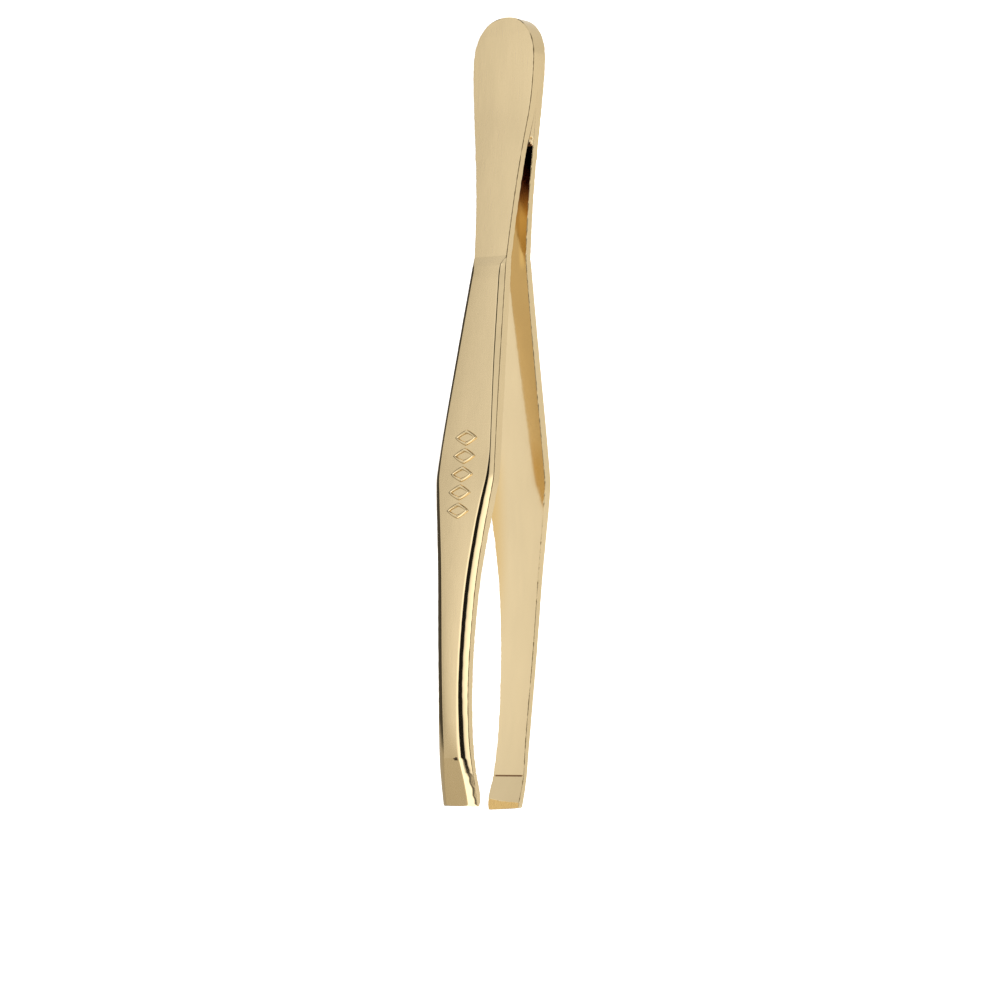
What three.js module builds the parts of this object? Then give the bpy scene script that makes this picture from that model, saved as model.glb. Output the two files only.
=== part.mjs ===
// Sprung stamp tongs: two stamped metal arms welded together at a round head, each with a thin
// spring neck, a bowed leg with bevelled long edges, and a claw whose end is ground to a flat land.
// Millimetres. The tongs lie on their side edges: +X runs from the head to the claws, the arms
// open along Y with the front arm at -Y, and +Z is up, across the width of the arms.
// "along" is the distance from the head end; "height" is the distance outwards from the middle
// plane between the arms.

import * as THREE from "three";

// Overall sizes.
const totalLength = 95;
const headWidth = 9.74;
const headRound = 5.4;
const headEndFlat = 1.4;
const headEndPower = 2.2;
const edgeBreak = 0.08;

// Where each stretch of an arm begins, along the tongs.
const platesPart = 10;
const crotch = 15;
const pivotAlong = 21.5;
const shoulderStart = 29.2;
const shoulderEnd = 30.2;
const hip = 56;
const outerCrease = 89.4;
const innerCrease = 91;
const landStart = 94;

// Clearances: between the two head plates, across the flexing point of a neck, and round the weld.
const plateGap = 0.1;
const neckGap = 0.3;
const weldClearance = 0.04;
const weldLength = 2;

// A profile is a list of knots [along, value, slope], joined by cubics. Two knots at the same place
// make a corner, such as a crease.
const width = profile([
  [headRound, headWidth, 0],
  [13, 8.54, -0.31],
  [21.5, 6.34, -0.2],
  [shoulderStart, 5.27, -0.09],
  [shoulderStart, 5.27, 0.152],
  [hip - 1.2, 9.16, 0.146],
  [hip, 9.26, 0],
  [hip + 1.5, 8.96, -0.26],
  [66, 6.7, -0.23],
  [76, 5.24, -0.1],
  [86, 4.68, 0],
  [91, 5.06, 0.1],
  [totalLength, 5.3, 0.02],
]);
const innerHeight = profile([
  [platesPart, plateGap / 2, 0],
  [12.5, 0.18, 0.11],
  [15, 0.46, 0.075],
  [pivotAlong, 0.82, 0.055],
  [29, 1.27, 0.08],
  [35, 1.83, 0.105],
  [46, 3, 0.11],
  [hip, 4.05, 0.1],
  [66, 4.93, 0.065],
  [75, 5.22, 0],
  [84.6, 4.9, -0.06],
  [innerCrease, 4.3, -0.14],
  [innerCrease, 4.3, -0.25],
  [landStart, 3.5, -0.28],
  [landStart, 3.5, 0.045],
  [totalLength, 3.545, 0.045],
]);
const edgeHeight = profile([
  [platesPart, 1, 0],
  [15, 1.28, 0.055],
  [pivotAlong, 1.64, 0.056],
  [shoulderStart, 2.12, 0.07],
  [shoulderEnd, 2.32, 0.11],
  [43.6, 3.82, 0.115],
  [hip, 5.1, 0.09],
  [66, 5.78, 0.05],
  [74, 5.98, 0],
  [80, 5.91, -0.035],
  [87, 5.48, -0.1],
  [91, 4.91, -0.185],
  [totalLength, 4.04, -0.23],
]);
const bevelWidth = profile([
  [shoulderStart, edgeBreak, 0],
  [shoulderEnd + 0.3, 0.64, 0.2],
  [32, 0.72, 0],
  [40, 0.72, 0],
  [52, 0.6, 0],
  [58, 1.08, 0.04],
  [66, 1.22, 0.01],
  [75, 1.28, 0],
  [80, 1.27, 0],
  [85, 1.3, 0.01],
  [outerCrease, 1.34, 0],
  [outerCrease, 1.34, -0.1],
  [92, 1.1, -0.06],
  [totalLength, 1, 0],
]);
const bevelHeight = profile([
  [shoulderStart, edgeBreak, 0],
  [shoulderEnd + 0.3, 0.44, 0.1],
  [32, 0.48, 0],
  [40, 0.48, 0],
  [52, 0.4, 0],
  [58, 0.64, 0.03],
  [66, 0.71, 0.005],
  [75, 0.74, 0],
  [80, 0.72, 0],
  [85, 0.71, 0.005],
  [outerCrease, 0.76, 0.02],
  [outerCrease, 0.76, -0.05],
  [92, 0.67, -0.02],
  [totalLength, 0.64, 0],
]);

// Returns a function of the distance along the tongs; it stays level before the first knot and
// after the last one.
function profile(knots) {
  return (along) => {
    const first = knots[0];
    const last = knots[knots.length - 1];
    if (along <= first[0]) return first[1];
    if (along >= last[0]) return last[1];
    const next = knots.findIndex((knot) => knot[0] >= along);
    const [x0, y0, slope0] = knots[next - 1];
    const [x1, y1, slope1] = knots[next];
    const span = x1 - x0;
    const t = (along - x0) / span;
    const rise = y1 - y0;
    return (
      y0 +
      rise * t * t * (3 - 2 * t) +
      span * t * (1 - t) * (slope0 * (1 - t) - slope1 * t)
    );
  };
}

// The width of an arm, with the round end of the head as half of a slightly square ellipse, cut off
// by a small flat.
function armWidth(along) {
  const reach = Math.max(0, 1 - along / headRound);
  const share = (1 - reach ** headEndPower) ** (1 / headEndPower);
  return Math.max(headEndFlat, width(along) * share);
}

// The corners of an arm's cross-section: a flat inner face, two side edges and a flat outer face
// with a bevel along each side. The bevels fade out towards the tip of the round head.
function armSection(along) {
  const half = armWidth(along) / 2;
  const bevel = Math.min(bevelWidth(along), half / 2);
  const inner = innerHeight(along);
  const edge = edgeHeight(along);
  const outer = edge + bevelHeight(along);
  return [
    [inner, -half],
    [inner, half],
    [edge, half],
    [outer, half - bevel],
    [outer, bevel - half],
    [edge, -half],
  ].map(([height, across]) => new THREE.Vector3(along, height, across));
}

// The cross-section of the weld, which fills the crotch between the two arms.
function weldSection(along) {
  const half = armWidth(along) / 2 - edgeBreak;
  const height = innerHeight(along) - weldClearance;
  return [
    [-height, -half],
    [-height, half],
    [height, half],
    [height, -half],
  ].map(([y, across]) => new THREE.Vector3(along, y, across));
}

// A closed solid through one ring of points at each station.
function loft(stations, section) {
  const rings = stations.map(section);
  const corners = rings[0].length;
  const geometry = new THREE.BufferGeometry().setFromPoints(rings.flat());
  const index = [];
  for (let ring = 0; ring + 1 < rings.length; ring += 1) {
    for (let corner = 0; corner < corners; corner += 1) {
      const a = ring * corners + corner;
      const b = ring * corners + ((corner + 1) % corners);
      index.push(a, a + corners, b);
      index.push(b, a + corners, b + corners);
    }
  }
  const end = (rings.length - 1) * corners;
  for (let corner = 1; corner + 1 < corners; corner += 1) {
    index.push(0, corner, corner + 1);
    index.push(end, end + corner + 1, end + corner);
  }
  geometry.setIndex(index);
  geometry.computeVertexNormals();
  return geometry;
}

// Evenly spaced places from one end of a stretch to just before the other.
function stretch(from, to, steps) {
  return Array.from({ length: steps }, (_, i) => from + ((to - from) * i) / steps);
}

// Places round the head's end, closer together where it curves most.
function headStations(steps) {
  return stretch(0, Math.PI / 2, steps).map((angle) => headRound * (1 - Math.cos(angle)));
}

function goldPlate(roughness) {
  return new THREE.MeshStandardMaterial({
    color: 0xdcc08a,
    roughness,
    metalness: 1,
    flatShading: true,
  });
}

// The head plate and the fixed half of the spring neck.
function armHead() {
  const stations = [
    ...headStations(10),
    ...stretch(headRound, platesPart, 2),
    ...stretch(platesPart, pivotAlong - neckGap / 2, 6),
    pivotAlong - neckGap / 2,
  ];
  return new THREE.Mesh(loft(stations, armSection), goldPlate(0.35));
}

// The moving half of the spring neck, the bowed leg and the claw.
function armLeg() {
  const stations = [
    ...stretch(pivotAlong + neckGap / 2, shoulderStart, 3),
    shoulderStart,
    shoulderEnd,
    ...stretch(shoulderEnd + 0.3, hip - 1.2, 8),
    ...stretch(hip - 1.2, hip + 1.5, 4),
    ...stretch(hip + 1.5, outerCrease, 14),
    outerCrease,
    innerCrease,
    landStart,
    totalLength,
  ];
  return new THREE.Mesh(loft(stations, armSection), goldPlate(0.35));
}

// The bead of weld metal that closes the crotch.
function headWeld() {
  const stations = [...stretch(crotch - weldLength, crotch, 3), crotch];
  return new THREE.Mesh(loft(stations, weldSection), goldPlate(0.5));
}

// One arm, on the +Y side of the middle plane.
function arm(side) {
  const group = new THREE.Group();
  const head = armHead();
  head.name = `${side}_arm_head`;
  const leg = armLeg();
  leg.name = `${side}_arm_leg`;
  group.add(head, leg);
  return group;
}

const tongs = new THREE.Group();
const backArm = arm("back");
const frontArm = arm("front");
frontArm.rotation.x = Math.PI;
const weld = headWeld();
weld.name = "head_weld";
tongs.add(frontArm, backArm, weld);
tongs.position.set(-totalLength / 2, 0, headWidth / 2);

const part = new THREE.Group();
part.add(tongs);

export default part;
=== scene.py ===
import bisect
import math

import bpy
from mathutils import Matrix, Vector, noise


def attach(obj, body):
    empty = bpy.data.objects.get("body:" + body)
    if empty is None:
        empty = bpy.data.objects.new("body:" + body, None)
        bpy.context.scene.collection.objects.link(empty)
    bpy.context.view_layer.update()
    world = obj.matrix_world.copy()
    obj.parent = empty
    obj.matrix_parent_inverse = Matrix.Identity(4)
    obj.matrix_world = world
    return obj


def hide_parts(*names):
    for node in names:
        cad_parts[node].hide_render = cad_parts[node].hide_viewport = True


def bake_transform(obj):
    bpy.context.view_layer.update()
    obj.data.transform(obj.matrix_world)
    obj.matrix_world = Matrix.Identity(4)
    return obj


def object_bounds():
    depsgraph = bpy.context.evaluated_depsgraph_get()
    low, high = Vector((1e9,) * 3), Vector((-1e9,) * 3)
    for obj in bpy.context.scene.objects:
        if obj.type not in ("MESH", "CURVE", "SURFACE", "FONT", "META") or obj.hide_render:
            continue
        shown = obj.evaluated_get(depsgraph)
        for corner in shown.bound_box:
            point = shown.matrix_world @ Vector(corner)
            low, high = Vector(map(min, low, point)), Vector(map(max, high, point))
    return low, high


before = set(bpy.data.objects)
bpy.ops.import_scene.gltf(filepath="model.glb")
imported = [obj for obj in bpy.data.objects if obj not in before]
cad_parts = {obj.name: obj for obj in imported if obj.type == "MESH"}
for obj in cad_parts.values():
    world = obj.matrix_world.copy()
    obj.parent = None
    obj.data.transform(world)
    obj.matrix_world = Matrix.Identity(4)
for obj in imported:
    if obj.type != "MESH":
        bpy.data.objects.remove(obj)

# Sprung stamp tongs, gold plated. The tongs lie on their side edges: +X runs from the round head to
# the claws, the front arm is at -Y and +Z is up. Sizes below are in millimetres; "along" is the
# distance from the head end, "height" the distance outwards from the plane between the arms, and
# "across" the distance from the arms' centre line, along Z.

MM = 0.001
TINY = 1e-9
cad_low, cad_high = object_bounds()
TOTAL_LENGTH = (cad_high - cad_low).x / MM
HEAD_WIDTH = (cad_high - cad_low).z / MM
ORIGIN = Vector((cad_low.x, 0, (cad_low.z + cad_high.z) / 2))

# Where each stretch of an arm begins, along the tongs.
HEAD_ROUND = 5.4
PLATES_PART = 10
CROTCH = 15
NECK_MIDDLE = 21.5
SHOULDER_START = 29.2
SHOULDER_END = 30.2
HIP = 56
OUTER_CREASE = 89.4
INNER_CREASE = 91
LAND_START = 94

# The view: its angles, the place it aims at, how wide it is there, and the camera's distance.
VIEW_ELEVATION = 42
VIEW_YAW = 4.8
VIEW_ROLL = 2.02
VIEW_AIM = 58.22
VIEW_ASIDE = 0.79
VIEW_WIDTH = 119.55
VIEW_DISTANCE = 600
SENSOR = 36


def profile(knots):
    """A smooth function of the distance along the tongs, through knots of (along, value, slope)."""
    places = [knot[0] for knot in knots]

    def at(along):
        if along <= places[0]:
            return knots[0][1]
        if along >= places[-1]:
            return knots[-1][1]
        after = bisect.bisect_left(places, along)
        x0, y0, slope0 = knots[after - 1]
        x1, y1, slope1 = knots[after]
        span = x1 - x0
        t = (along - x0) / span
        bend = span * t * (1 - t) * (slope0 * (1 - t) - slope1 * t)
        return y0 + (y1 - y0) * t * t * (3 - 2 * t) + bend

    return at


def eased(curve, corners, reach=2.5, samples=11):
    """The curve averaged over a short stretch, so that bends run into each other, but not at corners."""
    # The weights are most of a cosine's arch, which falls almost to nothing at its two ends.
    arch = 0.98

    def at(along):
        room = min(abs(along - corner) for corner in corners)
        span = min(reach, room)
        steps = [span * (2 * i / (samples - 1) - 1) for i in range(samples)]
        weights = [math.cos(math.pi / 2 * step / (span + TINY) * arch) for step in steps]
        total = sum(w * curve(along + step) for w, step in zip(weights, steps))
        return total / sum(weights)

    return at


def clamped(value):
    return min(1, max(0, value))


# The places where a profile keeps its corners.
OUTLINE_CORNERS = (SHOULDER_START, 0, TOTAL_LENGTH)
INNER_CORNERS = (0, INNER_CREASE, LAND_START, TOTAL_LENGTH)
EDGE_CORNERS = (0, SHOULDER_START, SHOULDER_END, TOTAL_LENGTH)

width = eased(profile([
    (HEAD_ROUND, HEAD_WIDTH, 0),
    (13, 8.54, -0.31),
    (NECK_MIDDLE, 6.34, -0.2),
    (SHOULDER_START, 5.27, -0.09),
    (SHOULDER_START, 5.27, 0.152),
    (HIP - 1.2, 9.16, 0.146),
    (HIP, 9.26, 0),
    (HIP + 1.5, 8.96, -0.26),
    (66, 6.7, -0.23),
    (76, 5.24, -0.1),
    (86, 4.68, 0),
    (91, 5.06, 0.1),
    (TOTAL_LENGTH, 5.3, 0.02),
]), OUTLINE_CORNERS, reach=0.6)
# How far the arms' centre line strays sideways.
camber = profile([
    (0, 0.08, 0),
    (24, 0.12, 0),
    (38, -0.01, -0.008),
    (60, -0.06, 0),
    (78, -0.06, 0.002),
    (88, 0.01, 0.012),
    (92, 0.12, 0.02),
    (TOTAL_LENGTH, 0.15, 0),
])
# The height of the inner face, before the land is ground.
inner_height = eased(profile([
    (PLATES_PART, 0, 0),
    (12.5, 0.15, 0.11),
    (CROTCH, 0.46, 0.075),
    (NECK_MIDDLE, 0.82, 0.055),
    (29, 1.27, 0.08),
    (35, 1.83, 0.105),
    (46, 3, 0.11),
    (HIP, 4.05, 0.1),
    (66, 4.93, 0.065),
    (75, 5.22, 0),
    (84.6, 4.9, -0.06),
    (INNER_CREASE, 4.3, -0.14),
    (INNER_CREASE, 4.3, -0.25),
    (TOTAL_LENGTH, 3.2, -0.3),
]), INNER_CORNERS)
# The height of the line where the bevel meets the side edge.
edge_height = eased(profile([
    (PLATES_PART, 1, 0),
    (CROTCH, 1.28, 0.055),
    (NECK_MIDDLE, 1.64, 0.056),
    (SHOULDER_START, 2.12, 0.07),
    (SHOULDER_START, 2.12, 0.2),
    (SHOULDER_END, 2.32, 0.2),
    (SHOULDER_END, 2.32, 0.11),
    (43.6, 3.82, 0.115),
    (HIP, 5.1, 0.09),
    (66, 5.78, 0.05),
    (74, 5.98, 0),
    (80, 5.91, -0.035),
    (87, 5.48, -0.1),
    (91, 4.91, -0.185),
    (TOTAL_LENGTH, 4.04, -0.23),
]), EDGE_CORNERS)

# The bevel along each side of the outer face. Before it starts, the edge is only broken.
EDGE_BREAK = 0.085
BEVEL_START = SHOULDER_START + 0.1
BEVEL_FULL = SHOULDER_END + 0.3
bevel_width = profile([
    (BEVEL_START, EDGE_BREAK, 0.4),
    (BEVEL_FULL, 0.64, 0.2),
    (32, 0.72, 0),
    (40, 0.72, 0),
    (52, 0.6, 0),
    (58, 1.08, 0.04),
    (66, 1.22, 0.01),
    (75, 1.28, 0),
    (80, 1.27, 0),
    (85, 1.3, 0.01),
    (OUTER_CREASE, 1.34, 0),
    (OUTER_CREASE, 1.34, -0.1),
    (92, 1.1, -0.06),
    (TOTAL_LENGTH, 1, 0),
])
bevel_height = profile([
    (BEVEL_START, EDGE_BREAK, 0.25),
    (SHOULDER_END, 0.41, 0.25),
    (BEVEL_FULL, 0.44, 0.02),
    (32, 0.48, 0),
    (40, 0.48, 0),
    (52, 0.4, 0),
    (58, 0.64, 0.03),
    (66, 0.71, 0.005),
    (75, 0.74, 0),
    (80, 0.72, 0),
    (85, 0.71, 0.005),
    (OUTER_CREASE, 0.76, 0.02),
    (OUTER_CREASE, 0.76, -0.05),
    (92, 0.67, -0.02),
    (TOTAL_LENGTH, 0.64, 0),
])
# How much the bevel bulges: 0 is flat, 1 turns by BEVEL_TURN degrees from its one edge to its other.
bevel_bulge = profile([
    (50, 0, 0),
    (58, 1, 0),
    (88, 1, 0),
    (92, 0.6, 0),
])
BEVEL_TURN = 24
LEAST_TURN = 0.001
BEVEL_STEPS = 12
# The share of the turn that makes the bevel steeper than its mean slope, at its foot.
FOOT_TURN = 0.46
# How much closer together the bevel's points are at its two edges than in its middle.
EDGE_CROWDING = 0.08

# The rounded corner between the bevel and the outer face.
CORNER_RADIUS = 0.55
CORNER_STEPS = 6

# The narrow cut corner between the bevel and the side edge: its size, the largest share of the bevel
# it takes, and how far it goes below, above and in from the sharp corner, as shares of its size.
CORNER_CUT = 0.09
CUT_LARGEST = 0.14
CUT_BELOW = 0.6
CUT_ABOVE = 0.4
CUT_IN = 0.9
CUT_RADIUS = 0.05
CUT_STEPS = 3
CUT_POINTS = 2 * CUT_STEPS + 2

# The two faces. The outer one is crowned as far as the claw, and the inner one is hollow from the
# neck on; both depths are those of the widest stretch, and go with the width.
CROWN = 0.09
CROWN_HALF = HEAD_WIDTH / 2
CROWN_FADE = 4
HOLLOW = 0.045
HOLLOW_HALF = 4.6
HOLLOW_FADE = 8

# The corner between the inner face and the side edge.
INNER_CUT = 0.06
INNER_CUT_LEAST = 0.004
INNER_CUT_RADIUS = 0.02
INNER_CUT_FADE = 0.3
INNER_CUT_STEPS = 2

# The crease inside the claw, the land ground on its end, and the corners and edges of the end.
CREASE_DEPTH = 0.08
CREASE_REACH = 0.1
CREASE_SHARE = 0.85
LAND_HEIGHT = 3.5
LAND_RISE = 0.045
LAND_TILT = 0.042
TIP_CORNER = 0.25
TIP_EDGE = 0.05

# A painted dark reflection along the outer crease, where the claw is bent. It tapers towards the middle
# of the face, and is on the front arm's upper side and the back arm's lower side: the arms are alike.
SPOT_START = 0.4
SPOT_SPREAD = 1.5
SPOT_MIDDLE = 0.05
SPOT_BEFORE = 0.13
SPOT_AFTER = 0.2

# How much wider the front claw is, and how much narrower the back claw, than the profile.
front_share = profile([
    (80, 1, 0),
    (88, 1.045, 0),
])
back_share = profile([
    (76, 1, 0),
    (88, 0.975, 0),
])
# How the back arm's end leans: from SKEW_START on, it shifts by END_SKEW times the distance across for
# each millimetre along.
SKEW_START = LAND_START - 1
END_SKEW = 0.025

# The outline of the round head, as the power of a slightly square ellipse, and the least half width.
NOSE_POWER = 2.2
THINNEST = 0.02

# Unevenness of the hand-finished edges: (share, seed, waves per millimetre).
BREAK_WOBBLE = (0.45, 7, 2)
CUT_WOBBLE = (0.3, 3, 1.3)
TURN_WOBBLE = (0.025, 9, 0.7)
INNER_WOBBLE = (0.7, 5, 2.6)
WOBBLE_GAIN = 1.6


def uneven(along, wobble):
    """A factor that wanders about 1 along an edge."""
    share, seed, waves = wobble
    return 1 + share * (noise.noise(Vector((along * waves, seed, 0.5))) * WOBBLE_GAIN)


def nose(along):
    """The head's round end, as a share of the full width."""
    reach = max(0, 1 - along / HEAD_ROUND)
    return max(0, 1 - reach**NOSE_POWER) ** (1 / NOSE_POWER)


def half_width(along):
    half = width(along) / 2 * nose(along)
    short = along - (TOTAL_LENGTH - TIP_CORNER)
    if short > 0:
        half -= TIP_CORNER - math.sqrt(max(0, TIP_CORNER**2 - short**2))
    return max(half, THINNEST)


def edge_distance(along, across):
    """How far a point on the head is from its outline, seen square on."""
    half = width(along) / 2
    reach = abs(1 - along / HEAD_ROUND) ** NOSE_POWER + abs(across / half) ** NOSE_POWER
    return max(0, (1 - reach ** (1 / NOSE_POWER)) * half)


def arc(corner, toward, away, radius, steps):
    """Points round a corner, tangent to its two sides, from the toward side to the away side."""
    largest_cut = 0.45
    corner, toward, away = (Vector(p) for p in (corner, toward, away))
    one = (toward - corner).normalized()
    two = (away - corner).normalized()
    turn = math.pi - one.angle(two)
    room = min((away - corner).length, (toward - corner).length) * largest_cut
    cut = min(radius * math.tan(turn / 2), room)
    radius = cut / math.tan(turn / 2)
    centre = corner + (one + two).normalized() * radius / math.cos(turn / 2)
    start = corner + one * cut - centre
    end = corner + two * cut - centre
    points = []
    for i in range(steps + 1):
        t = i / steps
        a = math.sin((1 - t) * turn) / math.sin(turn)
        b = math.sin(t * turn) / math.sin(turn)
        points.append(centre + start * a + end * b)
    return points


def bevel_line(along):
    """The bevel's section as (distance from the outline, depth below the outer face) points.

    It runs from the side edge over a narrow cut corner and the bevel itself to the outer face.
    """
    reach = bevel_width(along)
    drop = bevel_height(along)
    if along < BEVEL_START:
        reach *= uneven(along, BREAK_WOBBLE)
        drop = reach
    cut = min(CORNER_CUT * uneven(along, CUT_WOBBLE), reach * CUT_LARGEST)
    side = Vector((0, -drop - cut * CUT_BELOW))
    foot = Vector((cut * CUT_IN, -drop + cut * CUT_ABOVE))
    top = Vector((reach, 0))
    mean = math.atan2(top.y - foot.y, top.x - foot.x)
    turn = math.radians(BEVEL_TURN) * bevel_bulge(along) * uneven(along, TURN_WOBBLE) + LEAST_TURN
    steep = math.tan(mean + turn * FOOT_TURN)
    shallow = math.tan(mean - turn * (1 - FOOT_TURN))
    pull_in = ((top.y - foot.y) - (top.x - foot.x) * shallow) / (steep - shallow)
    pull = foot + Vector((pull_in, pull_in * steep))
    line = arc(side, (0, side.y - 1), foot, CUT_RADIUS, CUT_STEPS)
    line += arc(foot, side, pull, CUT_RADIUS, CUT_STEPS)
    corner = arc(top, pull, top + Vector((1, 0)), CORNER_RADIUS, CORNER_STEPS)
    last = line[-1]
    first = corner[0]
    for i in range(1, BEVEL_STEPS):
        t = i / BEVEL_STEPS
        t = t - EDGE_CROWDING * math.sin(2 * math.pi * t)
        line.append(last * (1 - t) ** 2 + pull * 2 * t * (1 - t) + first * t**2)
    return line + corner


def depth_at(line, distance):
    """How far below the outer face the surface is, that far in from the outline."""
    for (d0, h0), (d1, h1) in zip(line, line[1:]):
        if distance <= d1:
            return h0 + (h1 - h0) * max(0, distance - d0) / max(d1 - d0, TINY)
    return 0


def round_off(distance, radius):
    """How far a rounded edge falls below its face at a distance from the edge."""
    if distance >= radius:
        return 0
    return radius - math.sqrt(max(0, radius**2 - (radius - distance) ** 2))


def inner_level(along, across, half):
    """The inner face's height and finish: hollow along the middle, creased, and ground at its end."""
    level = inner_height(along)
    off_crease = (along - INNER_CREASE) / CREASE_REACH
    level += CREASE_DEPTH * max(0, 1 - abs(off_crease))
    hollow = HOLLOW * clamped((along - CROTCH) / HOLLOW_FADE) * half / HOLLOW_HALF
    level += hollow * (1 - (across / half) ** 2)
    land = LAND_HEIGHT + LAND_RISE * (along - LAND_START) - LAND_TILT * across
    if land > level:
        return land, "land"
    # The strip about the crease takes a dark colour, which is painted shade.
    creased = -1 <= off_crease < 0.95 and abs(across) < CREASE_SHARE * half
    return level, "crease" if creased else "inner"


def in_painted_spot(along, share, sign):
    """Whether a point of the outer face is inside the painted dark reflection at the outer crease."""
    off_crease = along - OUTER_CREASE
    if sign > 0 or not -SPOT_BEFORE < off_crease < SPOT_AFTER:
        return False
    return share > SPOT_START + SPOT_SPREAD * abs(off_crease - SPOT_MIDDLE)


# Where a face has its points, as shares of its half width. One more, SUPPORT from the edge, keeps the
# edge crisp where there is room for it.
FACE_SHARES = (0, 0.16, 0.32, 0.48, 0.62, 0.76, 0.88, 0.96)
SUPPORT = 0.02
SUPPORT_ROOM = 0.5
# Half the stretch over which the outline's slope is taken.
SLOPE_REACH = 0.02
# How far in from the outline the crown of the round head has its full height.
CROWN_EDGE = 2


def support_share(flat):
    """The share of a flat's half width that is SUPPORT short of its edge."""
    return 1 - SUPPORT / flat if flat > SUPPORT_ROOM else 0.98


def inner_points(along, sign, half, end):
    """The inner face from its middle outwards, and its corner."""
    apart = clamped((along - CROTCH) / INNER_CUT_FADE)
    corner = min(INNER_CUT_LEAST + INNER_CUT * apart * uneven(along, INNER_WOBBLE), half * 0.4)
    flat = half - corner - 0.01
    points = []
    for share in FACE_SHARES + (support_share(flat),):
        across = flat * share
        level, finish = inner_level(along, sign * across, half)
        points.append((across, level + end, finish))
    level, _ = inner_level(along, sign * half, half)
    turn = arc((corner, 0), (corner + 1, 0), (0, corner), INNER_CUT_RADIUS, INNER_CUT_STEPS)
    turn += arc((0, corner), (corner, 0), (0, corner + 1), INNER_CUT_RADIUS, INNER_CUT_STEPS)
    return points + [(half - inset, level + end + lift, "edge") for inset, lift in turn]


def bevel_points(along, half, outer, line):
    """The bevel and its corners, from the side edge to the outer face."""
    slope = (half_width(along + SLOPE_REACH) - half_width(along - SLOPE_REACH)) / (2 * SLOPE_REACH)
    spread = math.hypot(1, slope)
    count = len(line)
    points = []
    last = half
    for i, (distance, depth) in enumerate(line):
        # Where the head is narrow, the points share out its width.
        least = half * (1 - 0.9 * (i + 1) / count)
        across = min(last, max(half - distance * spread, least)) if i > 0 else half
        last = across
        if along < HEAD_ROUND:
            depth = depth_at(line, edge_distance(along, across))
        finish = "edge" if i < CUT_POINTS - 1 else "bevel"
        if i == count - 1:
            finish = "face"
        points.append((across, outer + depth, finish))
    return points


def face_points(along, sign, half, outer, line, flat):
    """The outer face, from its bevel to its middle."""
    crown = CROWN * half / CROWN_HALF
    if along > OUTER_CREASE - CROWN_FADE:
        crown *= max(0, 1 - (along - OUTER_CREASE + CROWN_FADE) / CROWN_FADE)
    points = []
    for share in (support_share(flat),) + FACE_SHARES[::-1]:
        across = flat * share
        depth = 0
        if along < HEAD_ROUND:
            depth = depth_at(line, edge_distance(along, across))
            share = 1 - (1 - share) * min(1, edge_distance(along, 0) / CROWN_EDGE)
        # The spot at the outer crease gets a near-black colour, a painted dark reflection.
        finish = "painted_spot" if in_painted_spot(along, share, sign) else "face"
        points.append((across, outer + depth + crown * (1 - share**2), finish))
    return points


def half_ring(along, sign):
    """Half a cross-section, from the middle of the inner face to the middle of the outer face.

    Each point is (across, height, finish), with the finish of the strip that starts there.
    """
    half = half_width(along)
    end = round_off(TOTAL_LENGTH - along, TIP_EDGE)
    outer = edge_height(along) + bevel_height(along) - end
    line = bevel_line(along)
    points = inner_points(along, sign, half, end)
    points.append((half, points[-1][1] + SUPPORT, "edge"))
    points.append((half, outer + line[0][1] - SUPPORT, "edge"))
    points += bevel_points(along, half, outer, line)
    return points + face_points(along, sign, half, outer, line, points[-1][0])


def arm_ring(along):
    """A whole cross-section as (across, height) points, and the finish of the strip after each."""
    right = half_ring(along, 1)
    left = half_ring(along, -1)
    points = [(z, h) for z, h, _ in right] + [(-z, h) for z, h, _ in left[-2:0:-1]]
    finishes = [f for _, _, f in right[:-1]] + [f for _, _, f in left[-2::-1]]
    return points, finishes


STATION_STEP = 0.25
STATION_LEAST = 0.01


def spaced(start, step, count):
    """Evenly spaced places."""
    return {start + step * i for i in range(count)}


def stations():
    """Places along an arm for its cross-sections, close together at corners and creases."""
    places = {HEAD_ROUND * (1 - math.cos(math.radians(a))) for a in range(2, 91, 2)}
    places |= {0.001, 0.004, 0.03, 0.06}
    places |= spaced(HEAD_ROUND, STATION_STEP, int((TOTAL_LENGTH - HEAD_ROUND) / STATION_STEP))
    for corner in (SHOULDER_START, SHOULDER_END, OUTER_CREASE):
        places |= {corner + step for step in (-0.12, -0.04, 0.04, 0.12)}
    places |= {INNER_CREASE + CREASE_REACH * step / 3 for step in range(-4, 5)}
    places |= spaced(HIP - 1.8, 0.1, 40)
    places |= spaced(LAND_START - 0.4, 0.05, 24)
    places |= {TOTAL_LENGTH - TIP_CORNER * (1 - math.sin(math.radians(a))) for a in range(0, 90, 9)}
    places |= {TOTAL_LENGTH - TIP_EDGE * (1 - math.cos(math.radians(a))) for a in range(0, 91, 18)}
    ordered = sorted(places)
    kept = [ordered[0]]
    for place in ordered[1:]:
        if place - kept[-1] > STATION_LEAST:
            kept.append(place)
    kept[-1] = TOTAL_LENGTH
    return kept


def grid_normals(points, rings, count):
    """A normal for each point from its neighbours."""
    normals = []
    for i in range(rings):
        for j in range(count):
            before = points[i * count + (j - 1) % count]
            after = points[i * count + (j + 1) % count]
            low = points[max(i - 1, 0) * count + j]
            high = points[min(i + 1, rings - 1) * count + j]
            normal = (high - low).cross(after - before)
            normals.append(normal.normalized() if normal.length > 0 else Vector((1, 0, 0)))
    return normals


def mesh_piece(name, points, faces, materials):
    """A piece through points in metres, in the part's frame."""
    mesh = bpy.data.meshes.new(name)
    mesh.from_pydata(points, [], faces)
    for material in materials:
        mesh.materials.append(material)
    mesh.polygons.foreach_set("use_smooth", [True] * len(faces))
    mesh.update()
    piece = bpy.data.objects.new(name, mesh)
    bpy.context.scene.collection.objects.link(piece)
    return piece


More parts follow.
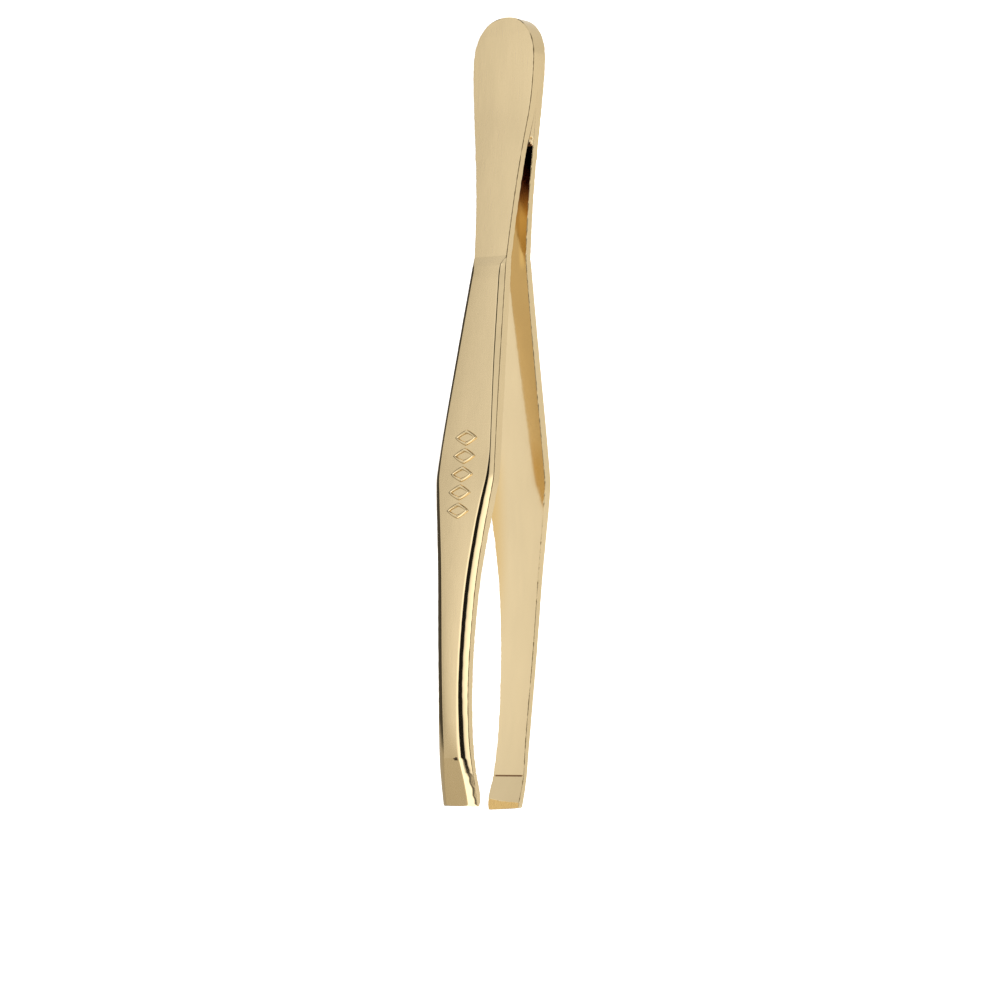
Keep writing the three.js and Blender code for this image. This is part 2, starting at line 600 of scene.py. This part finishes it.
def lofted(name, rings, finishes, materials):
    """A closed piece through rings of points, with one finish number for each face."""
    count = len(rings[0])
    points = [ORIGIN + Vector(point) * MM for ring in rings for point in ring]
    faces = []
    for i in range(len(rings) - 1):
        for j in range(count):
            k = (j + 1) % count
            faces.append((i * count + j, (i + 1) * count + j, (i + 1) * count + k, i * count + k))
    faces.append(tuple(range(count)))
    faces.append(tuple(range((len(rings) - 1) * count, len(rings) * count))[::-1])
    piece = mesh_piece(name, points, faces, materials)
    piece.data.polygons.foreach_set("material_index", finishes)
    piece.data.update()
    normals = grid_normals(points, len(rings), count)
    corner_normals = [normals[v] for face in faces[:-2] for v in face]
    corner_normals += [Vector((-1, 0, 0))] * count + [Vector((1, 0, 0))] * count
    piece.data.normals_split_custom_set(corner_normals)
    return piece


# The last two finishes carry painted light: painted shade in the inner crease, and a painted dark
# reflection at the outer crease.
FINISHES = ("face", "bevel", "edge", "inner", "land", "crease", "painted_spot")


def arm_piece(name, side, materials):
    """One whole arm; side is -1 for the front arm and 1 for the back arm."""
    rings = []
    rows = []
    for place in stations():
        points, finishes = arm_ring(place)
        stray = camber(place)
        share = front_share(place) if side < 0 else back_share(place)
        skew = END_SKEW * max(0, place - SKEW_START) if side > 0 else 0
        rings.append([
            (place - skew * side * across, side * height, side * across * share + stray)
            for across, height in points
        ])
        rows.append([FINISHES.index(finish) for finish in finishes])
    numbers = [number for row in rows[:-1] for number in row]
    numbers += [FINISHES.index("edge")] * 2
    return lofted(name, rings, numbers, materials)


# The weld between the head plates. Its end has close sections from FINE_START, a small pit, and a
# middle that is hollowed back by WELD_DIP, starting at DIP_START.
WELD_START = 9.6
FINE_START = 14.1
DIP_START = 14.7
WELD_END = 15.75
WELD_ROUND = 0.25
WELD_DIP = 0.4
WELD_STEPS = 12
WELD_INSET = 0.008
WELD_OVERLAP = 0.01
PIT_ALONG = 14.95
PIT_REACH = 0.16
PIT_SHARE = 0.5
PIT_DEPTH = 0.3


def weld_piece(materials):
    """Weld metal that fills the wedge between the arms."""
    places = spaced(WELD_START, 0.2, 22) | spaced(FINE_START, 0.06, 23)
    places |= {WELD_END - WELD_ROUND * (1 - math.sin(math.radians(a))) for a in range(12, 91, 13)}
    rings = []
    for place in sorted(places):
        gap = inner_height(place) + WELD_OVERLAP
        short = max(0, place - (WELD_END - WELD_ROUND))
        drop = WELD_ROUND - math.sqrt(max(0, WELD_ROUND**2 - short**2))
        top = half_width(place) - WELD_INSET - drop
        late = clamped((place - DIP_START) / (WELD_END - DIP_START))
        ring = []
        for sign in (1, -1):
            for i in range(WELD_STEPS):
                share = 1 - 2 * i / WELD_STEPS
                off_pit = ((place - PIT_ALONG) / PIT_REACH) ** 2 + (share / PIT_SHARE) ** 2
                pit = PIT_DEPTH * math.exp(-off_pit)
                along = place - WELD_DIP * late * (1 - share**2)
                ring.append((along, sign * share * gap, sign * (top - pit) + camber(place)))
        rings.append(ring[::-1])
    numbers = [0] * ((len(rings) - 1) * len(rings[0]) + 2)
    return lofted("weld", rings, numbers, materials)


# The ornament: a row of raised lozenges on the front leg, each a rounded stroke.
LOZENGE_COUNT = 5
LOZENGE_FIRST = 51.25
LOZENGE_PITCH = 2.2
LOZENGE_LENGTH = 1.45
LOZENGE_WIDTH = 2.9
LOZENGE_STROKE = 0.25
LOZENGE_RAISE = 0.25
LOZENGE_POWER = 1.2
LOZENGE_STEPS = 48
STROKE_STEPS = 9


def lozenge_point(middle, turn, stroke_turn):
    """A point of the lozenge round a middle, by how far round it and round its stroke the point is."""
    shape = abs(math.cos(turn)) ** LOZENGE_POWER + abs(math.sin(turn)) ** LOZENGE_POWER
    shape **= -1 / LOZENGE_POWER
    grow = LOZENGE_STROKE * math.cos(stroke_turn)
    along = middle + math.cos(turn) * shape * (LOZENGE_LENGTH / 2 + grow)
    across = math.sin(turn) * shape * (LOZENGE_WIDTH / 2 + grow)
    flat = half_width(along) - bevel_width(along)
    face = edge_height(along) + bevel_height(along)
    face += CROWN * half_width(along) / CROWN_HALF * (1 - (across / flat) ** 2)
    height = face + LOZENGE_RAISE * math.sin(stroke_turn)
    return ORIGIN + Vector((along, -height, across + camber(along))) * MM


def ornament_piece(material):
    """The row of lozenges, as one piece."""
    points = []
    faces = []
    for number in range(LOZENGE_COUNT):
        middle = LOZENGE_FIRST + LOZENGE_PITCH * number
        start = len(points)
        for i in range(LOZENGE_STEPS):
            here = start + i * STROKE_STEPS
            beyond = start + (i + 1) % LOZENGE_STEPS * STROKE_STEPS
            for j in range(STROKE_STEPS):
                k = (j + 1) % STROKE_STEPS
                turn = 2 * math.pi * i / LOZENGE_STEPS
                points.append(lozenge_point(middle, turn, 2 * math.pi * j / STROKE_STEPS))
                faces.append((here + j, here + k, beyond + k, beyond + j))
    return mesh_piece("ornament", points, faces, [material])


class Nodes:
    """Short ways to add and join the nodes of a material or a world."""

    def __init__(self, owner):
        owner.use_nodes = True
        self.tree = owner.node_tree

    def put(self, value, socket):
        """Joins another node's output to the socket, or sets the socket to a constant."""
        if isinstance(value, bpy.types.NodeSocket):
            self.tree.links.new(value, socket)
        else:
            socket.default_value = value

    def add(self, kind, inputs, output=0, **settings):
        """Adds a node with inputs by their names or numbers, and returns one of its outputs."""
        node = self.tree.nodes.new("ShaderNode" + kind)
        for setting, value in settings.items():
            setattr(node, setting, value)
        for key, value in inputs.items():
            self.put(value, node.inputs[key])
        return node.outputs[output]

    def split(self, vector):
        node = self.tree.nodes.new("ShaderNodeSeparateXYZ")
        self.put(vector, node.inputs["Vector"])
        return node.outputs

    def product(self, first, second):
        return self.add("Math", {0: first, 1: second}, operation="MULTIPLY")

    def step(self, value, start, end, high=1.0):
        """Softly from 0 to high as the value goes from start to end."""
        inputs = {"Value": value, "From Min": start, "From Max": end, "To Max": high}
        return self.add("MapRange", inputs, "Result", interpolation_type="SMOOTHSTEP")

    def mix(self, factor, first, second):
        """From the first colour to the second one; each is an output or three numbers."""
        inputs = {"Factor": factor}
        for key, colour in (("A", first), ("B", second)):
            inputs[key] = colour + (1,) if isinstance(colour, tuple) else colour
        return self.add("Mix", inputs, "Result", data_type="RGBA")


# Materials: gold plate, with its finishes, and colours that paint shade and reflections onto it.
GOLD = (0.755, 0.6, 0.355)
# Painted reflection: a deeper gold for the inner faces near their low edge, where they show the table.
TABLE_REFLECTION_GOLD = (0.7, 0.49, 0.21)
# Painted reflection: a lighter, warmer gold for a streak on the inner faces along the neck.
STREAK_REFLECTION_GOLD = (0.95, 0.76, 0.42)
LAND_GOLD = (0.88, 0.6, 0.24)
# Painted shade: a dark brown for the strip along the crease inside the claw.
CREASE_SHADE_GOLD = (0.33, 0.2, 0.11)
# Painted dark reflection: a near black for a spot at the end of the outer crease.
PAINTED_SPOT_GOLD = (0.09, 0.06, 0.04)
# Painted shade: a dark brown for the inner faces between the arms near the weld.
WELD_SHADE_GOLD = (0.4, 0.26, 0.2)
# How much the colour of the plate varies, and the size of its patches, along and across.
TINT = 0.025
TINT_PATCH = (9, 2.5)


def grain(nodes, along, across, detail):
    """Noise stretched along the tongs, with its lengths in millimetres."""
    place = nodes.add("TexCoord", {}, "Object")
    scale = (1 / (along * MM), 1 / (across * MM), 1 / (across * MM))
    stretched = nodes.add("Mapping", {"Vector": place, "Scale": scale})
    inputs = {"Vector": stretched, "Scale": 1, "Detail": detail, "Roughness": 0.55}
    return nodes.add("TexNoise", inputs, "Fac")


def ramp(nodes, value, low, high):
    """Turns noise, which is mostly between 0.3 and 0.7, into a number from low to high."""
    inputs = {"Value": value, "From Min": 0.3, "From Max": 0.7, "To Min": low, "To Max": high}
    return nodes.add("MapRange", inputs, "Result")


def window(nodes, steps):
    """The product of soft steps of (axis, from, to) in millimetres.

    X is counted from the head end, and Z from the arms' centre line.
    """
    axes = nodes.split(nodes.add("TexCoord", {}, "Object"))
    offsets = {"X": ORIGIN.x / MM, "Z": ORIGIN.z / MM}
    product = None
    for axis, start, end in steps:
        offset = offsets[axis]
        step = nodes.step(axes[axis], (start + offset) * MM, (end + offset) * MM)
        product = step if product is None else nodes.product(product, step)
    return product


def gold(name, roughness, brushed, height, colour=GOLD, painted_patches=()):
    """Gold plate: roughness (low, high), brushed (along, across) grain in mm, and bump height in mm.

    Each painted patch of shade or reflection is (colour, steps), and grows to its full strength over the
    steps.
    """
    material = bpy.data.materials.new(name)
    nodes = Nodes(material)
    shader = nodes.tree.nodes["Principled BSDF"]
    shader.inputs["Metallic"].default_value = 1
    fine = grain(nodes, *brushed, detail=4)
    broad = grain(nodes, *TINT_PATCH, detail=2)
    nodes.put(ramp(nodes, fine, *roughness), shader.inputs["Roughness"])
    darker = tuple(c * (1 - TINT) for c in colour)
    lighter = tuple(c * (1 + TINT) for c in colour)
    plate = nodes.mix(ramp(nodes, broad, 0, 1), darker, lighter)
    # Colours painted over the plate as shade and reflections, each inside its window.
    for painted_colour, steps in painted_patches:
        plate = nodes.mix(window(nodes, steps), plate, painted_colour)
    nodes.put(plate, shader.inputs["Base Color"])
    bump = nodes.add("Bump", {"Strength": 1, "Distance": height * MM, "Height": fine}, "Normal")
    nodes.put(bump, shader.inputs["Normal"])
    return material


def gold_finishes():
    """The material of each finish, in the order of FINISHES."""
    # A painted reflection: a lighter, warmer streak on the inner faces from 22 to 29 mm along, on one
    # side of the centre line.
    painted_reflection_streak = (STREAK_REFLECTION_GOLD, [("X", 31, 29), ("X", 19, 22), ("Z", 1.4, 2)])
    # Painted shade between the arms: the inner faces darken towards the weld, in full from 18.5 mm
    # along.
    painted_shade_near_weld = (WELD_SHADE_GOLD, [("X", 24.5, 18.5)])
    # A painted reflection of the table on the inner faces near their low edge, along the legs.
    painted_table_reflection = (TABLE_REFLECTION_GOLD, [("X", 50, 55), ("X", 78, 64), ("Z", -1.2, -4.2)])
    return [
        gold("gold_satin", (0.2, 0.28), (2.6, 0.13), 0.0009),
        gold("gold_bevel", (0.04, 0.07), (2.5, 0.4), 0.0003),
        gold("gold_edge", (0.1, 0.2), (0.5, 0.2), 0.0015),
        gold("gold_inner", (0.06, 0.1), (3, 0.35), 0.0004, painted_patches=[painted_reflection_streak, painted_shade_near_weld, painted_table_reflection]),
        gold("gold_land", (0.2, 0.35), (0.9, 0.14), 0.006, colour=LAND_GOLD),
        # The crease strip's dark colour is painted shade.
        gold("gold_crease_shade", (0.25, 0.4), (0.2, 0.5), 0.004, colour=CREASE_SHADE_GOLD),
        # A painted dark reflection at the end of the outer crease.
        gold("gold_painted_spot", (0.25, 0.4), (0.2, 0.5), 0.004, colour=PAINTED_SPOT_GOLD),
    ]


def view_axes():
    """The view's directions: across the tongs, down them, and back to the camera."""
    tilt = math.radians(VIEW_ELEVATION)
    yaw = math.radians(VIEW_YAW)
    along = Vector((1, 0, 0))
    square = Vector((0, -math.cos(tilt), math.sin(tilt)))
    across = Vector((0, math.sin(tilt), math.cos(tilt)))
    down = along * math.cos(yaw) - square * math.sin(yaw)
    back = square * math.cos(yaw) + along * math.sin(yaw)
    return across, down, back


def make_camera():
    """A long lens above the front arm, with the head end at the top of the picture."""
    roll = math.radians(VIEW_ROLL)
    across, down, back = view_axes()
    right = across * math.cos(roll) - down * math.sin(roll)
    up = back.cross(right)
    aim = ORIGIN + (Vector((1, 0, 0)) * VIEW_AIM + across * VIEW_ASIDE) * MM
    data = bpy.data.cameras.new("camera")
    data.sensor_width = SENSOR
    data.lens = SENSOR * VIEW_DISTANCE / VIEW_WIDTH
    data.clip_start = 0.01
    camera = bpy.data.objects.new("camera", data)
    turn = Matrix((right, up, back)).transposed().to_4x4()
    camera.matrix_world = Matrix.Translation(aim + back * VIEW_DISTANCE * MM) @ turn
    bpy.context.scene.collection.objects.link(camera)
    bpy.context.scene.camera = camera


# The floor's half size in metres, and how much it glows by itself.
FLOOR_REACH = 3
FLOOR_GLOW = 0.85


def make_floor():
    """A plain pale floor; mirrors look past it at the studio's light."""
    material = bpy.data.materials.new("floor")
    shader = Nodes(material).tree.nodes["Principled BSDF"]
    shader.inputs["Base Color"].default_value = (0.85, 0.85, 0.85, 1)
    shader.inputs["Roughness"].default_value = 0.9
    shader.inputs["Emission Color"].default_value = (1, 1, 1, 1)
    shader.inputs["Emission Strength"].default_value = FLOOR_GLOW
    corners = [(-1, -1), (1, -1), (1, 1), (-1, 1)]
    points = [(x * FLOOR_REACH, y * FLOOR_REACH, 0) for x, y in corners]
    floor = mesh_piece("floor", points, [(0, 1, 2, 3)], [material])
    floor.visible_glossy = False


# The studio's light, by the slope of the polished surface that shows it to the camera: (angle,
# brightness, how golden). The angle is twice the slope in degrees, turned up from level in front,
# less the view's elevation. For a surface that is level along the tongs, it is about the angle that
# the light comes from.
BANDS_START = -138
STUDIO_BESIDE = [
    (BANDS_START, 0.1, 0.6),
    (-58, 0.06, 0.6),
    (-53, 0.84, 0.3),
    (-49, 0.93, 0.2),
    (-42, 1.02, 0.05),
    (-34, 1.14, 0),
    (-20, 1.25, 0),
    (-7, 1.6, 0),
    (-1, 1.6, 0),
    (1, 0.015, 0),
    (20, 0.015, 0),
    (22, 1.05, 0),
    (27, 1.4, 0),
    (33, 1.6, 0),
    (41, 1.8, 0),
    (43, 0.24, 0.8),
    (66, 0.24, 0.8),
    (70, 1.5, 0),
    (105, 1.2, 0),
    (138, 0.9, 0.25),
    (165, 0.8, 0.2),
    (180, 0.9, 0),
    (222, 0.9, 0),
]
# The same for surfaces that slope towards the head's end.
STUDIO_BEFORE = [
    (BANDS_START, 0.1, 0.6),
    (-58, 0.06, 0.6),
    (-53, 0.76, 0.3),
    (-49, 0.85, 0.2),
    (-42, 0.98, 0.05),
    (-20, 1.02, 0),
    (-1, 1, 0),
    (1, 0.015, 0),
    (20, 0.015, 0),
    (22, 0.88, 0.1),
    (27, 0.93, 0.1),
    (33, 0.95, 0.1),
    (41, 1, 0),
    (43, 0.24, 0.8),
    (66, 0.24, 0.8),
    (70, 1.5, 0),
    (105, 1.2, 0),
    (138, 0.9, 0.25),
    (222, 0.9, 0),
]
# The same for surfaces that slope towards the claws' end.
STUDIO_BEYOND = [
    (BANDS_START, 0.5, 0.8),
    (-84, 0.5, 0.8),
    (-63, 0.66, 0.8),
    (-45, 0.8, 0.6),
    (-32, 0.85, 0.6),
    (-26, 2, 0),
    (6, 2, 0),
    (9, 0.1, 0),
    (12, 0.1, 0),
    (14, 0.75, 0.4),
    (40, 0.6, 0.6),
    (49, 1.4, 0),
    (138, 0.95, 0.1),
    (222, 0.9, 0),
]
# How much a fully golden light lacks of green and of blue.
GOLDEN_GREEN = 0.1
GOLDEN_BLUE = 0.3
# A colour in the world goes up to 1, so brightness is divided by this, and the background multiplies it.
STRENGTH = 2

# The slopes at which the light changes, from and to, where 1 faces straight along the tongs. For
# BEFORE, DIM and GLINT they are towards the head's end, and for LEAN and BEYOND towards the claws'.
BEFORE_SLOPES = (0.02, 0.1)
DIM_SLOPES = (0.13, 0.17)
GLINT_SLOPES = (0.62, 0.78)
LEAN_SLOPES = (0.09, 0.21)
BEYOND_SLOPES = (0.125, 0.17)
# The glint is only for surfaces that also face the front this much.
GLINT_FRONT = (0.6, 0.75)
# How many degrees the bands turn up, how much dimmer the light gets, and how bright the glint is.
LIGHT_LEAN = 24
DIM = 0.12
GLINT = 0.8
# The light behind the tongs, as the camera sees it, and how straight away from the camera it starts.
BEHIND = 0.96
BEHIND_FACING = (0.93, 0.97)


def bands(nodes, studio, place):
    """A colour ramp over a full turn, with a stop for each of the studio's bands."""
    node = nodes.tree.nodes.new("ShaderNodeValToRGB")
    elements = node.color_ramp.elements
    while len(elements) > 1:
        elements.remove(elements[-1])
    for i, (angle, level, golden) in enumerate(studio):
        where = (angle - BANDS_START) / 360
        stop = elements[0] if i == 0 else elements.new(where)
        stop.position = where
        green = 1 - GOLDEN_GREEN * golden
        blue = 1 - GOLDEN_BLUE * golden
        stop.color = (level / STRENGTH, level / STRENGTH * green, level / STRENGTH * blue, 1)
    nodes.put(place, node.inputs["Fac"])
    return node.outputs["Color"]


def make_world():
    """A soft studio, bright in front, above and behind, dark below, with two dim strips in front."""
    to_camera = view_axes()[2]
    world = bpy.data.worlds.new("studio")
    bpy.context.scene.world = world
    nodes = Nodes(world)
    outward = nodes.add("TexCoord", {}, "Generated")
    between = nodes.add("VectorMath", {0: outward, 1: to_camera}, operation="ADD")
    slope = nodes.split(nodes.add("VectorMath", {0: between}, operation="NORMALIZE"))
    front = nodes.product(slope["Y"], -1)
    toward_claws = slope["X"]
    toward_head = nodes.product(slope["X"], -1)

    # The slope's angle, doubled, over a full turn from the first band.
    turn = nodes.add("Math", {0: slope["Z"], 1: front}, operation="ARCTAN2")
    first = (-BANDS_START - VIEW_ELEVATION) / 360
    place = nodes.add("Math", {0: turn, 1: 1 / math.pi, 2: first}, operation="MULTIPLY_ADD")
    lean = nodes.step(toward_claws, *LEAN_SLOPES, LIGHT_LEAN / 360)
    turned = nodes.add("Math", {0: place, 1: lean}, operation="SUBTRACT")

    beside = bands(nodes, STUDIO_BESIDE, turned)
    beyond = bands(nodes, STUDIO_BEYOND, turned)
    before = bands(nodes, STUDIO_BEFORE, place)
    studio = nodes.mix(nodes.step(toward_claws, *BEYOND_SLOPES), beside, beyond)
    studio = nodes.mix(nodes.step(toward_head, *BEFORE_SLOPES), studio, before)

    dimmed = nodes.step(toward_head, *DIM_SLOPES, DIM)
    level = nodes.add("Math", {0: 1, 1: dimmed}, operation="SUBTRACT")
    glint = nodes.product(nodes.step(front, *GLINT_FRONT), nodes.step(toward_head, *GLINT_SLOPES, GLINT))
    level = nodes.add("Math", {0: level, 1: glint}, operation="ADD")
    studio = nodes.add("VectorMath", {0: studio, "Scale": level}, operation="SCALE")

    facing = nodes.add("VectorMath", {0: outward, 1: -to_camera}, "Value", operation="DOT_PRODUCT")
    behind = (BEHIND / STRENGTH,) * 3
    studio = nodes.mix(nodes.step(facing, *BEHIND_FACING), studio, behind)
    background = nodes.tree.nodes["Background"]
    background.inputs["Strength"].default_value = STRENGTH
    nodes.put(studio, background.inputs["Color"])


make_camera()
make_floor()
make_world()
bpy.context.scene.view_settings.view_transform = "Standard"

finishes = gold_finishes()
for arm, side in (("front_arm", -1), ("back_arm", 1)):
    piece = arm_piece(arm, side, finishes)
    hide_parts(arm + "_head", arm + "_leg")
    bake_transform(piece)

weld = weld_piece([finishes[FINISHES.index("edge")]])
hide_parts("head_weld")
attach(weld, "head")

ornament = ornament_piece(finishes[FINISHES.index("bevel")])
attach(ornament, "front_leg")
